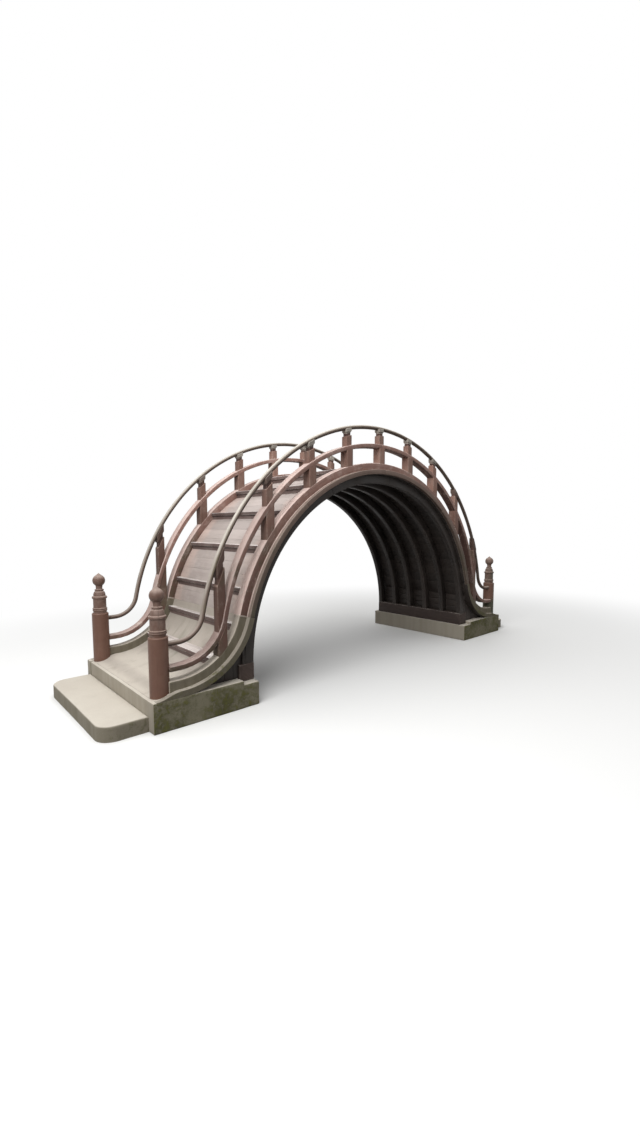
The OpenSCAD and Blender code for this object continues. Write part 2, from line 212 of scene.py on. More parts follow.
# %% [markdown]
# ## From skins to a piece
# A piece is one object, though it may hold dozens of boards. Adding faces one by one would be slow,
# so `fill_mesh` joins the arrays and hands each to the mesh in one call. `piece` gives the finish,
# smooths all but the sharp edges, and says what the new piece rides on and stands for.

# %% From skins to a piece
SHARP = math.radians(38)


def fill_mesh(mesh, parts):
    """Puts the parts into one mesh as whole arrays, each part's corners counted on from base."""
    base = np.cumsum([0] + [len(q["points"]) for q in parts])
    joined = {key: join([q[key] for q in parts]).ravel() for key in parts[0]}
    corners = join([q["corners"] + b for q, b in zip(parts, base)])
    mesh.vertices.add(int(base[-1]))
    mesh.vertices.foreach_set("co", joined["points"])
    mesh.loops.add(len(corners))
    mesh.loops.foreach_set("vertex_index", corners.astype(np.int32))
    mesh.polygons.add(len(joined["sizes"]))
    starts = np.cumsum(joined["sizes"]) - joined["sizes"]
    mesh.polygons.foreach_set("loop_start", starts.astype(np.int32))
    mesh.update(calc_edges=True)
    mesh.uv_layers.new(name="grain").data.foreach_set("uv", joined["uv"])
    for name in ("edge", "tone", "sun"):
        mesh.attributes.new(name, "FLOAT", "POINT").data.foreach_set("value", joined[name])


def piece(name, parts, finish, slot, *stands_for, under=None):
    """One object from several skins, which rides on the bridge and hides the plain nodes that it
    stands for. Faces that under(middles, normals) picks take the near-black timber, painted shade."""
    mesh = bpy.data.meshes.new(name)
    fill_mesh(mesh, parts)
    mesh.materials.append(finishes[finish])
    if under is not None:
        mesh.materials.append(finishes["near_black_shaded_timber"])
        middles, normals = np.empty((2, len(mesh.polygons) * 3))
        mesh.polygons.foreach_get("center", middles)
        mesh.polygons.foreach_get("normal", normals)
        picked = under(middles.reshape(-1, 3), normals.reshape(-1, 3))
        mesh.polygons.foreach_set("material_index", picked.astype(np.int32))
    mesh.polygons.foreach_set("use_smooth", np.ones(len(mesh.polygons), bool))
    mesh.set_sharp_from_angle(angle=SHARP)
    mesh.validate()
    obj = bpy.data.objects.new(name, mesh)
    scene.collection.objects.link(obj)
    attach(obj, "root")
    if stands_for:
        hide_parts(*stands_for)
    print(f"{name}: {len(parts)} parts, {len(mesh.polygons)} faces")


# %% [markdown]
# ## Outlines and stations
# A sawn board never has a knife edge: it is planed off a little, and shows as a thin bright line.
# `soft_rect` is a rectangle whose corners are quarter circles. `stations` sets the rings close
# together at both ends of a piece, where `shrink` pulls the outline in along another quarter
# circle. A Bevel modifier would do both on a box, but wouldn't mark the edges or map the grain.

# %% Outlines and stations
CORNER = np.radians([0, 30, 60, 90])


def soft_rect(w, h, r, fill=1):
    """Outline of a w by h rectangle with corners of radius r, and how near each point is to the
    middle of a corner. fill is the number of steps on each flat side."""
    points, rub = [], []
    for k, (cx, cy) in enumerate(((1, 1), (-1, 1), (-1, -1), (1, -1))):
        centre = np.array([cx * (w / 2 - r), cy * (h / 2 - r)])
        b = CORNER + k * math.pi / 2
        points.append(centre + r * np.stack([np.cos(b), np.sin(b)], -1))
        rub.append(np.sin(2 * CORNER))
        if fill > 1:
            go = np.array([[-1, 0], [0, -1], [1, 0], [0, 1]][k])
            length = (w if k % 2 == 0 else h) - 2 * r
            points.append(points[-1][-1] + np.arange(1, fill)[:, None] / fill * length * go)
            rub.append(np.zeros(fill - 1))
    return join(points), join(rub)


def stations(a, b, step, ease):
    """Stations from a to b about step apart, and how far the outline shrinks at each one."""
    near, pull = ease * (1 - np.cos(CORNER)), 1 - np.sin(CORNER)
    count = max(1, math.ceil((b - a - 2 * ease) / step))
    inner = np.linspace(a + ease, b - ease, count + 1)[1:-1]
    s = join([a + near, inner, (b - near)[::-1]])
    return s, join([pull, 0 * inner, pull[::-1]]) * ease


def shrink(outline, inset):
    """The outline pulled in by inset at each station, as one array of rings in its own plane."""
    return outline * (1 - inset[:, None, None] / np.abs(outline).max(0))


def lengths(a, b, longest, gap, stagger=0.0):
    """Splits the run from a to b into equal pieces no longer than longest, gap apart, and then
    moves the cuts by stagger."""
    cuts = np.linspace(a, b, math.ceil((b - a) / longest) + 1)
    cuts[1:-1] += stagger
    return [(lo + gap / 2 * (lo > a), hi - gap / 2 * (hi < b)) for lo, hi in zip(cuts, cuts[1:])]


print("outline points:", len(soft_rect(0.1, 0.05, 0.005)[0]))

# %% [markdown]
# ## Bent and straight boards
# A board is sawn to its curve or laid straight. So there are two ways to carry an outline: `sweep`
# along one of the curves, and `straight` from one point to another. One function of any path could
# do both, but it would have to guard against twist, and neither of these can twist.

# %% Bent and straight boards
BEND_STEP = 0.04


def outward(outline, h, r):
    """How far each point of the outline looks outward: 1 on the outer face, -1 on the inner one,
    falling to nothing round the soft edges."""
    level = outline[:, 1]
    return np.sign(level) * np.clip((np.abs(level) - (h / 2 - r)) / r, 0, 1)


def bent(curve, s, y, lift):
    """Rings along a curve: at each distance s the points lie y across and lift outside it."""
    x, z, a = (v[:, None] for v in curve.at(s))
    return np.stack([x + lift * np.sin(a), y + 0 * lift, z + lift * np.cos(a)], -1)


def sweep(curve, s0, s1, y, out, w, h, r, ease=0.004):
    """A soft rectangle, w across and h thick, carried along a curve from s0 to s1 at the distance
    y across, with its middle at out outside the curve."""
    outline, rub = soft_rect(w, h, r)
    s, inset = stations(s0, s1, BEND_STEP, ease)
    flat = shrink(outline, inset)
    rings = bent(curve, s, y + flat[..., 0], out + flat[..., 1])
    return loft(rings, rub, sun=outward(outline, h, r))


def straight(start, end, across, w, h, r, step=0.3, ease=0.004, fill=1):
    """A soft rectangle carried in a straight line: w along the direction across, h square to that
    and to the line."""
    start, end, across = (np.asarray(v, float) for v in (start, end, across))
    length = norm(end - start)
    go = (end - start) / length
    across = across / norm(across)
    outline, rub = soft_rect(w, h, r, fill)
    s, inset = stations(0, length, step, ease)
    flat = shrink(outline, inset)
    up = np.cross(go, across)
    return loft(start + s[:, None, None] * go + flat[..., :1] * across + flat[..., 1:] * up, rub)


print("a bent metre has", len(stations(0, 1, BEND_STEP, 0.004)[0]), "rings")

# %% [markdown]
# ## A short way to wire a finish
# A finish that looks real is a stack of simple layers: a body colour, cloudy patches, the grain,
# dirt, and wear along the edges. Each is a noise, narrowed to a mask that mixes two colours. Wiring
# that by hand takes dozens of lines, so `Nodes` places a node and its links in one call, and
# `Finish` lays colour over colour and ends in the shader.

# %% Finish
finishes = {}


class Nodes:
    """A node tree in the making. Every method places a node, feeds it, and gives its output."""

    def __init__(self, tree):
        self.tree = tree

    def node(self, kind, feeds, **settings):
        made = self.tree.nodes.new("ShaderNode" + kind)
        for key, value in settings.items():
            setattr(made, key, value)
        for key, value in feeds.items():
            self.feed(made.inputs[key], value)
        return made

    def feed(self, socket, value):
        if isinstance(value, bpy.types.NodeSocket):
            self.tree.links.new(value, socket)
        else:
            socket.default_value = (*value[:3], 1) if socket.type == "RGBA" else value

    def mark(self, name):
        return self.node("Attribute", {}, attribute_name=name).outputs["Fac"]

    def parts_of(self, vector):
        return self.node("SeparateXYZ", {0: vector}).outputs

    def stretch(self, vector, by):
        return self.node("VectorMath", {0: vector, 1: by}, operation="MULTIPLY").outputs[0]

    def noise(self, vector, scale=1.0, detail=4.0, rough=0.55, bend=0.0):
        return self.node("TexNoise", {"Vector": vector, "Scale": scale, "Detail": detail,
                                      "Roughness": rough, "Distortion": bend}).outputs["Fac"]

    def between(self, value, lo, hi, at_lo=0.0, at_hi=1.0):
        """A mask: at_lo where the value is lo or less, at_hi where it is hi or more."""
        return self.node("MapRange", {"Value": value, "From Min": lo, "From Max": hi,
                                      "To Min": at_lo, "To Max": at_hi},
                         interpolation_type="SMOOTHSTEP").outputs[0]

    def sum(self, a, b, how="ADD"):
        return self.node("Math", {0: a, 1: b}, operation=how).outputs[0]

    def times(self, a, b):
        return self.sum(a, b, "MULTIPLY")

    def more(self, a, b):
        return self.sum(a, b, "MAXIMUM")

    def size(self, a):
        return self.sum(a, 0, "ABSOLUTE")

    def mix(self, mask, a, b):
        return self.node("Mix", {0: mask, 6: a, 7: b}, data_type="RGBA").outputs[2]

    def seen(self):
        """1 for what the camera sees, in gloss or through glass too, 0 for bouncing light."""
        ray = self.node("LightPath", {}).outputs
        seen = self.more(ray["Is Camera Ray"], ray["Is Glossy Ray"])
        return self.more(seen, ray["Is Transmission Ray"])


class Finish(Nodes):
    """The nodes of one material: where its points lie and which way they face, the colour reached
    so far, and the shader."""

    def __init__(self, name, colour, rough, specular=0.3):
        self.name, self.colour = name, colour
        self.material = bpy.data.materials.new(name)
        self.material.use_nodes = True
        super().__init__(self.material.node_tree)
        self.place = self.node("TexCoord", {}).outputs["Object"]
        self.facing = self.parts_of(self.node("NewGeometry", {}).outputs["Normal"])
        self.shader = self.tree.nodes["Principled BSDF"]
        self.shader.inputs["Roughness"].default_value = rough
        self.shader.inputs["Specular IOR Level"].default_value = specular

    def cover(self, mask, paint):
        """Lays a paint over the colour where the mask is above 0."""
        self.colour = self.mix(mask, self.colour, paint)

    def done(self, height, relief, roughness=None):
        """Joins the colour and the relief, whose depth is in metres, to the shader, and keeps the
        finish under its name."""
        self.feed(self.shader.inputs["Base Color"], self.colour)
        if roughness is not None:
            self.feed(self.shader.inputs["Roughness"], roughness)
        bump = self.node("Bump", {"Height": height, "Distance": relief, "Strength": 1.0})
        self.feed(self.shader.inputs["Normal"], bump.outputs[0])
        finishes[self.name] = self.material


# %% [markdown]
# ## A recipe for weathered timber
# The timber was painted red-brown long ago. Rain and sun bleach it to a dusty pink on every face
# that looks out of the drum or up, and that paler colour also paints in the light those faces
# catch. The grain opens and collects dirt, and the paint is gone from the edges. Toward the ground
# the sides are painted darker, as painted shade, and where a kind asks for it, faces that look down
# or into the drum get painted shade too. An image would show its repeats on so many boards, so one
# recipe of noises does for all the timber. The grain map keeps its lines along each board. Its
# patches use the object's own coordinates, because weather doesn't stop at a joint.

# %% Timber
OLD_PAINT = (0.62, 0.465, 0.405)


def timber(name, body, faded_and_lit, dirt, bare, top=0.6, patch=0.5, lines=0.5, worn=0.5, rough=0.68,
           relief=0.0012, spread=0.16, underside=None, low=0.0, keep=0.12, darken_heights=(2.25, 1.0),
           turn=0.0, algae=None, peel=0.0, path=0.0, tips=0.0):
    """patch and lines are the strength of faded patches and dark grain, and worn bares the edges.
    top bleaches the weather side, which begins where sun is turn, and paints light on it. low
    darkens the sides toward the ground between the heights darken_heights, which is painted shade,
    and keep is its share on the weather side; the right newels use it with a green dirt colour for
    their film.
    underside paints shade on faces that look down or into the drum. spread is how much boards
    differ.
    algae tints damp patches, peel strips paint in streaks, path is how much paler feet keep the
    middle of the walkway, and tips how pale the treads' ends are."""
    f = Finish(name, body, rough)
    place, up, sun = f.place, f.facing[2], f.mark("sun")
    grain = f.node("UVMap", {}, uv_map="grain").outputs[0]
    _, y, height = f.parts_of(place)
    across = f.size(y)
    fine = f.noise(f.stretch(grain, (5, 150, 1)), 1, 5, 0.6)
    figure = f.noise(f.stretch(grain, (1.1, 26, 1)), 1, 3, 0.5, 0.4)
    weather = f.noise(place, 4.5, 6, 0.62)
    # Faces that look up or out of the drum: their paler colour is partly bleaching and partly
    # painted light.
    exposed_and_lit = f.more(f.between(up, 0.15, 0.8), f.between(sun, turn, turn + 0.6))
    bleached_and_lit = f.times(exposed_and_lit, f.between(weather, 0.2, 0.6, top * 0.75, top))
    f.cover(f.more(f.between(weather, 0.42, 0.66, 0, patch), bleached_and_lit), faded_and_lit)
    # Darker toward the ground, between two heights: painted shade.
    if low:
        f.cover(f.times(f.between(height, *darken_heights, 0, low), f.between(exposed_and_lit, 0, 0.8, 1, keep)), dirt)
    if algae is not None:
        film = f.times(f.between(f.noise(place, 3.2, 5, 0.6), 0.45, 0.62, 0, 0.75),
                       f.between(height, 2.1, 1.3))
        f.cover(f.times(film, f.between(exposed_and_lit, 0, 0.8, 1, 0.2)), algae)
    # Faces that look down or into the drum take the underside colour: painted shade.
    if underside is not None:
        below = f.more(f.between(up, -0.3, -0.75), f.between(sun, turn, turn - 0.5))
        f.cover(f.times(below, f.between(up, 0.9, 0.5)), underside)
    f.cover(f.between(fine, 0.5, 0.72, 0, lines), dirt)
    f.cover(f.between(figure, 0.52, 0.7, 0, lines * 0.6), dirt)
    if path:
        wander_off = f.sum(across, f.times(weather, 0.5))
        f.cover(f.between(wander_off, 0.55, 0.3, 0, path), faded_and_lit)
        f.cover(f.between(wander_off, 0.72, 0.98, 0, 0.6), OLD_PAINT)
    if tips:
        f.cover(f.times(f.between(across, 0.60, 0.63), f.between(exposed_and_lit, 0.3, 0.9, 0, tips)), bare)
    if peel:
        off = f.between(f.sum(f.times(fine, 0.8), f.noise(place, 9, 5, 0.65)), 0.98, 1.05)
        f.cover(f.times(off, f.between(exposed_and_lit, 0, 0.8, peel * 0.35, peel)), bare)
    checks = f.between(f.noise(f.stretch(grain, (1.3, 170, 1)), 1, 2, 0.5), 0.64, 0.70)
    f.cover(f.times(checks, 0.6), dirt)
    rub = f.between(f.sum(f.noise(place, 60, 3, 0.6), weather), 0.85, 1.15, 0, worn)
    f.cover(f.times(f.mark("edge"), rub), bare)
    shade = f.between(f.mark("tone"), 0, 1, 1 - spread, 1 + spread)
    f.colour = f.node("HueSaturation", {"Value": shade, "Color": f.colour}).outputs[0]
    bumps = f.sum(f.sum(f.times(fine, -0.6), f.times(figure, -0.5)), f.times(checks, -1.5))
    f.done(bumps, relief, f.between(weather, 0.3, 0.7, rough - 0.1, rough + 0.1))


# %% [markdown]
# ## Sawn timber
# Kerbs and rails lie open to the sky and are nearly bleached, and their pale tops are partly
# painted light. The kerbs are painted paler still, as light that makes up for the middle rail's
# shadow. Posts keep their paint, the walked boards are scrubbed pale, and the frame below is near
# black, painted shade on dark timber. Each kind names its colours (body, faded, dirt, bare wood)
# and what sets it apart. As the recipe stays one, they look like one bridge.

# %% Sawn timber
# In the kinds below, low paints shade toward the ground, the underside colour paints shade under
# boards, and pale tops are partly painted light.
RED_BROWN, RED_DIRT, ALGAE = (0.275, 0.160, 0.130), (0.105, 0.053, 0.043), (0.085, 0.072, 0.045)
# The middle rail's dark underside is painted shade, and so is its darkening toward the ground.
timber("faded_lit_red_brown_timber", RED_BROWN, (0.64, 0.485, 0.435), RED_DIRT, (0.56, 0.48, 0.43),
       top=1.0, patch=0.3, lines=0.3, low=0.7, keep=0.6, darken_heights=(1.6, 0.7), turn=-0.05, algae=ALGAE,
       peel=0.8, underside=(0.090, 0.052, 0.042))
# The kerbs' faded colour is paler still: painted light, making up for the middle rail's shadow on
# their tops.
timber("lit_kerb_timber", RED_BROWN, (0.78, 0.60, 0.54), RED_DIRT, (0.70, 0.60, 0.54), top=1.0,
       patch=0.15, lines=0.3, low=0.8, turn=-0.05, algae=ALGAE, peel=0.6)
timber("edge_board_timber", (0.178, 0.122, 0.100), (0.33, 0.260, 0.222), (0.070, 0.055, 0.042),
       (0.36, 0.31, 0.26), top=0.8, patch=0.3, lines=0.3, low=0.7, turn=0.2,
       algae=(0.085, 0.078, 0.050))
# The posts' darkening toward the ground is painted shade.
timber("post_timber", (0.272, 0.157, 0.122), (0.385, 0.268, 0.222), (0.090, 0.046, 0.035),
       (0.45, 0.37, 0.31), patch=0.45, lines=0.35, low=0.75, darken_heights=(2.75, 1.2),
       algae=(0.11, 0.09, 0.06), peel=0.5)
# The neck's near-black colour is painted shade in its recess.
timber("shaded_neck_timber", (0.085, 0.045, 0.036), (0.16, 0.10, 0.08), (0.035, 0.018, 0.014),
       (0.20, 0.14, 0.11), patch=0.3)
# The rail's pale top is partly painted highlight, and its dark underside is painted shade.
timber("weathered_lit_rail_timber", (0.185, 0.142, 0.112), (0.54, 0.505, 0.445), (0.15, 0.098, 0.080),
       (0.46, 0.42, 0.36), top=1.0, patch=0.2, lines=0.35, underside=(0.075, 0.056, 0.044),
       turn=0.2, low=0.9, keep=0.7, darken_heights=(1.9, 0.9), algae=(0.19, 0.17, 0.11))
timber("bearing_block_timber", (0.34, 0.310, 0.270), (0.44, 0.42, 0.37), (0.110, 0.068, 0.054),
       (0.34, 0.30, 0.25), patch=0.5, worn=0.3, low=1.0, keep=0.9, darken_heights=(2.9, 2.1))
timber("worn_deck_boards", (0.375, 0.320, 0.292), (0.465, 0.405, 0.378), (0.27, 0.215, 0.19),
       (0.50, 0.46, 0.42), top=0.5, patch=0.7, lines=0.35, spread=0.08, path=0.6)
# Tread tops are worn pale and painted light, and their fronts are dark paint with painted shade.
timber("tread_timber", (0.140, 0.096, 0.086), (0.54, 0.485, 0.455), (0.090, 0.060, 0.052),
       (0.82, 0.77, 0.74), top=0.97, worn=0.7, patch=0.12, lines=0.35, tips=0.85)
# Near black: dark timber with the shade under the arch painted in.
timber("near_black_shaded_timber", (0.026, 0.020, 0.017), (0.046, 0.036, 0.031), (0.012, 0.009, 0.008),
       (0.085, 0.066, 0.055), top=0.4, patch=0.6, rough=0.55, spread=0.25)
timber("sill_timber", (0.050, 0.034, 0.029), (0.095, 0.070, 0.061), (0.022, 0.015, 0.013),
       (0.34, 0.30, 0.27), top=0.5, worn=1.0)
print("sawn timber:", len(finishes))

# %% [markdown]
# ## Turned timber and screws
# The newels kept a thicker, smoother coat, and their caps have gone chalky on top, where the paler
# colour is also painted light. The pair at the right stands in the damp and is tinged with green,
# low down on the posts and all over the caps.
# The treads' screws are dull metal with rust on it.

# %% Turned timber and screws
NEWEL_COLOURS = (0.155, 0.080, 0.057), (0.205, 0.120, 0.088)
CAP_COLOURS = (0.152, 0.087, 0.066), (0.35, 0.262, 0.222)
turned = {"patch": 0.5, "worn": 0.6, "relief": 0.0006, "spread": 0.03}
timber("newel_paint_left", *NEWEL_COLOURS, (0.09, 0.046, 0.032), (0.36, 0.25, 0.20), top=0.5,
       lines=0.22, rough=0.5, **turned)
timber("newel_paint_right", *NEWEL_COLOURS, (0.066, 0.070, 0.046), (0.36, 0.25, 0.20), top=0.5,
       lines=0.3, rough=0.6, low=0.92, darken_heights=(0.60, 0.49), keep=1.0, **turned)
timber("cap_paint_left", *CAP_COLOURS, (0.075, 0.048, 0.036), (0.40, 0.32, 0.28), top=0.85,
       lines=0.25, rough=0.55, **turned)
timber("cap_paint_right", *CAP_COLOURS, (0.066, 0.060, 0.042), (0.46, 0.40, 0.33), top=0.85,
       lines=0.3, rough=0.6, algae=(0.080, 0.088, 0.060), **turned)
metal = Finish("dull_screw_metal", (0.42, 0.41, 0.39), 0.45, 0.5)
metal.shader.inputs["Metallic"].default_value = 0.9
spots = metal.noise(metal.place, 900, 3, 0.6)
metal.cover(spots, (0.60, 0.58, 0.55))
metal.cover(metal.between(metal.noise(metal.place, 60, 4, 0.6), 0.48, 0.62), (0.20, 0.12, 0.08))
metal.done(spots, 0.0002)
print("with turned timber and screws:", len(finishes))

# %% [markdown]
# ## Concrete finishes
# The landings, steps and flares are cast concrete: pale and gritty where feet keep it clean,
# darker on upright faces, where the darker colour is painted shade, and faintly streaked there, and
# green-brown with moss on the long sides near the ground. Two small noises give pits and grit. Moss
# could be modelled as tufts, but it is only a film here, so it is a mask that grows with the face's
# turn to the side and dies out with height.

# %% Concrete
GREEN_WASH = (0.20, 0.205, 0.16)


def cast(name, body, pale, stain, upright, side, side_moss=0.35, rim=None, level=None,
         blotch=0.25, streak=0.0, relief=0.0016):
    """stain colours pits, grit and blotches, whose strength is blotch. upright and side are the
    colours of faces that look along the bridge and across it, and side_moss is the moss on the
    long sides. Beyond rim from the bridge's middle the side colour covers the top. level is what
    feet keep clean where the slope ends, and streak the green that rain draws down the slope."""
    f = Finish(name, body, 0.85, 0.25)
    place, (_, turn_y, turn_z) = f.place, f.facing
    _, across, height = f.parts_of(place)
    cloud = f.noise(place, 2.6, 6, 0.6)
    grit = f.noise(place, 190, 3, 0.7)
    tufts = f.noise(place, 22, 6, 0.7)
    cells = f.node("TexVoronoi", {"Vector": place, "Scale": 70}).outputs["Distance"]
    pits = f.between(cells, 0.0, 0.28)
    run = f.noise(f.stretch(place, (14, 14, 1.2)), 1, 4)
    f.cover(f.between(cloud, 0.3, 0.7), pale)
    if level is not None:
        f.cover(f.between(turn_z, 0.93, 0.998), level)
    f.cover(f.between(f.noise(place, 7, 5, 0.65), 0.5, 0.75, 0, blotch), stain)
    if streak:
        wash = f.noise(f.stretch(place, (1.2, 8, 1.2)), 1, 4, 0.6)
        f.cover(f.times(f.between(wash, 0.48, 0.66, 0, streak), f.between(turn_z, 0.98, 0.85)),
                GREEN_WASH)
    # Steep faces take the upright colour, and where it is darker than the body that is painted
    # shade.
    steep_shade = f.between(f.size(turn_z), 0.8, 0.35)
    f.cover(f.times(steep_shade, f.between(run, 0.3, 0.75, 0.8, 1.0)), upright)
    sideways = f.between(f.size(turn_y), 0.35, 0.9)
    growth = f.times(sideways, f.between(height, 0.50, 0.26, 0, side_moss))
    if rim is not None:
        outer = f.between(f.size(across), rim, rim + 0.01)
        f.cover(f.times(outer, f.between(cloud, 0.3, 0.7, 0.3, 0.55)), side)
        growth = f.more(growth, f.times(outer, f.between(height, 0.66, 0.44, 0, 0.42)))
    f.cover(f.times(sideways, f.between(run, 0.3, 0.75, 0.85, 1.0)), side)
    f.cover(f.between(grit, 0.35, 0.7, 0, 0.25), stain)
    f.cover(f.between(pits, 0.6, 0.0, 0, 0.4), stain)
    mask = f.between(f.sum(f.sum(tufts, cloud), growth), 1.35, 1.7)
    f.cover(mask, f.mix(f.between(tufts, 0.35, 0.7), (0.045, 0.042, 0.020), (0.135, 0.132, 0.042)))
    bumps = f.sum(f.sum(f.times(grit, 0.5), f.times(pits, 0.3)), f.times(f.times(mask, tufts), 3))
    f.done(bumps, relief)


# The step's dark upright and side colour and the landing's darker upright colour are painted shade.
CLEAN, CLEAN_PALE, SHADED_STEP_FACES = (0.57, 0.52, 0.45), (0.61, 0.565, 0.49), (0.22, 0.195, 0.145)
OLD, SLOPE = (0.49, 0.435, 0.37), (0.37, 0.33, 0.285)
cast("pale_cast_concrete", CLEAN, CLEAN_PALE, (0.36, 0.325, 0.26), (0.32, 0.285, 0.23),
     (0.19, 0.175, 0.115), side_moss=0.5)
cast("step_concrete", CLEAN, CLEAN_PALE, (0.40, 0.365, 0.30), SHADED_STEP_FACES, SHADED_STEP_FACES, blotch=0.15)
cast("mossy_concrete", OLD, (0.60, 0.54, 0.46), (0.26, 0.225, 0.175), OLD,
     (0.115, 0.100, 0.066), blotch=0.4)
cast("flare_concrete", SLOPE, (0.46, 0.41, 0.36), (0.26, 0.22, 0.18), SLOPE,
     (0.120, 0.106, 0.072), rim=0.872, level=CLEAN, blotch=0.3, streak=0.6)
cast("joint_mortar", (0.62, 0.54, 0.47), (0.70, 0.62, 0.55), (0.40, 0.34, 0.28),
     (0.50, 0.43, 0.37), (0.33, 0.28, 0.24), side_moss=0.0, blotch=0.3, relief=0.001)
print("all finishes:", len(finishes))

# %% [markdown]
# ## The deck
# The walkway is a drum of short boards laid across the bridge, each as wide as a hand, so tight
# that only a fine line shows between them. One curved slab would look like plywood, so every board
# is its own skin, laid flat on the ribs at its own slope. Their undersides take the near-black
# timber: painted shade.

# %% Deck boards
BOARD_W, BOARD_GAP, UNEVEN, DECK_Y = 0.14, 0.001, 0.0012, WALK_Y - EDGE_T


def crossing(s, y0, y1, drop, wide, thick, r):
    """A board straight across the walkway from y0 to y1, at the slope that the curve has at s,
    with its middle drop inside the walking surface."""
    x, z, a = walk.at(s)
    start, end = ((x - drop * np.sin(a), y, z - drop * np.cos(a)) for y in (y0, y1))
    return straight(start, end, (np.cos(a), 0, -np.sin(a)), wide, thick, r)


def turned_in(middles, normals, limit=-0.5):
    """Faces that look in at the middle of the drum: the cosine of a face's turn from straight out
    is below the limit."""
    out = np.stack([middles[:, 0], 0 * middles[:, 0], middles[:, 2] - walk.centre_z], -1)
    return (out * normals).sum(1) < limit * norm(out, axis=1)


boards = [crossing((lo + hi) / 2, -DECK_Y, DECK_Y, DECK_T / 2 + draw.uniform(0, UNEVEN),
                   hi - lo - BOARD_GAP, DECK_T, 0.0015)
          for lo, hi in lengths(-walk.arc_end, walk.arc_end, BOARD_W, 0)]
piece("deck_boards", boards, "worn_deck_boards", "deck_boards",
      "deck_left", "deck_crown", "deck_right", under=turned_in)

# %% [markdown]
# ## Treads
# The slope is far too steep to walk on, so level boards stand on short risers, like a ladder laid
# on the drum. Each runs back to where the curve has its height, which `reach` gives, so that no
# board has to be cut to the slope by a Boolean. The two lowest stand on the concrete flare.
# Round-headed screws hold each board to its riser.

# %% Treads
TREAD_L, TREAD_T, RISER_H, RISER_T, NOSING = 0.240, 0.040, 0.046, 0.028, 0.020
TREAD_Y, TREAD_IN, RISER_IN = KERB_Y - KERB_W, 0.012, 0.020
HEAD_R, HEAD_IN, SCREW_SET = 0.0055, 0.0002, 0.006
foot_x = walk.big * math.sin(walk.lean) + 0.063
tread_xs = [*(walk.big * np.sin(np.radians(18.7 + 13 * np.arange(5)))), foot_x, foot_x + 0.280]


def level_board(x, z, half, wide, thick, r, step=0.3, ease=0.004):
    """A board about x, z that runs level across the bridge, half to either side of the middle."""
    return straight((x, -half, z), (x, half, z), (1, 0, 0), wide, thick, r, step, ease)


def tread(side, x):
    """A board and its riser. The board runs from its nosing to a little inside the deck, or to
    its full length where the slope is gentle."""
    z = float(walk.height(x))
    foot, low, high = z - RISER_IN, z + RISER_H, z + RISER_H + TREAD_T
    front = x + NOSING
    back = max(front - TREAD_L, float(walk.reach(high)) - TREAD_IN)
    return [level_board(side * (front + back) / 2, (low + high) / 2, TREAD_Y - 0.002,
                        front - back, TREAD_T, 0.006),
            level_board(side * (x - RISER_T / 2), (foot + low) / 2, TREAD_Y - 0.004,
                        RISER_T, low - foot, 0.003)]


def spun(x, y, z, r, h, segments):
    """Rings about an upright axis at x, y: circles of the radii r at the heights h above z."""
    angle = np.linspace(0, 2 * math.pi, segments, endpoint=False)
    return np.stack([x + r * np.cos(angle), y + r * np.sin(angle), z + h + 0 * angle], -1)


def screw_head(x, y, z):
    """A low round head: a quarter of a circle spun round, pressed to two fifths of its height."""
    q = np.radians([0, 0, 28, 56, 84])[:, None]
    rise = 0.4 * HEAD_R * np.sin(q)
    rise[0] = -0.002
    return loft(spun(x, y, z, HEAD_R * np.cos(q), rise, 12))


for side, name in ENDS:
    parts = [part for x in tread_xs for part in tread(side, x)]
    piece(f"tread_boards_{name}", parts, "tread_timber", "deck_boards", f"treads_{name}")
    heads = [screw_head(side * (x - SCREW_SET), y,
                        float(walk.height(x)) + RISER_H + TREAD_T - HEAD_IN) for x in tread_xs
             for y in (-TREAD_Y + 0.05, -TREAD_Y + 0.42, TREAD_Y - 0.42, TREAD_Y - 0.05)]
    piece(f"tread_screws_{name}", heads, "dull_screw_metal", "deck_boards")

# %% [markdown]
# ## Edge boards and kerbs
# A board bent to the curve covers the ends of the deck boards, and a broad kerb stands behind it.
# Nobody finds a plank bent like that: both are lengths, butted end to end, so each length is its
# own sweep. Where the last one meets the concrete, the joint is pointed with a pale fillet of
# mortar that stands a little proud, over a bed of mortar that keeps the light out.

# %% Edge boards and kerbs
JOINT, PROUD, BED_W = 0.008, 0.005, 0.014


def bent_lengths(curve, end, longest, gap, y, out, w, h, r, stagger=0.0):
    """Lengths of a bent board, butted end to end from -end to end along a curve."""
    return [sweep(curve, lo, hi, y, out, w, h, r)
            for lo, hi in lengths(-end, end, longest, gap, stagger)]


for side, name in SIDES:
    parts = bent_lengths(walk, walk.arc_end, 1.5, 0.0015, side * (WALK_Y - EDGE_T / 2),
                         -DECK_T / 2, EDGE_T, DECK_T, 0.006)
    piece(f"bent_edge_board_{name}", parts, "edge_board_timber", "painted_timber",
          f"edge_board_{name}")
    y = side * RAIL_Y
    parts = bent_lengths(walk, walk.arc_end, 1.2, 0.002, y, KERB_H / 2, KERB_W, KERB_H, 0.008, 0.2)
    piece(f"bent_kerb_{name}", parts, "lit_kerb_timber", "painted_timber", f"kerb_{name}")
    ends = (-walk.arc_end, walk.arc_end)
    parts = [sweep(walk, s - JOINT, s + JOINT, y, KERB_H / 2, KERB_W + PROUD, KERB_H + PROUD,
                   0.009, 0.003) for s in ends]
    parts += [crossing(s, 0, side * DECK_Y, DECK_T / 2, BED_W, DECK_T - 0.012, 0.002)
              for s in ends]
    piece(f"pointed_joints_{name}", parts, "joint_mortar", "concrete", under=turned_in)

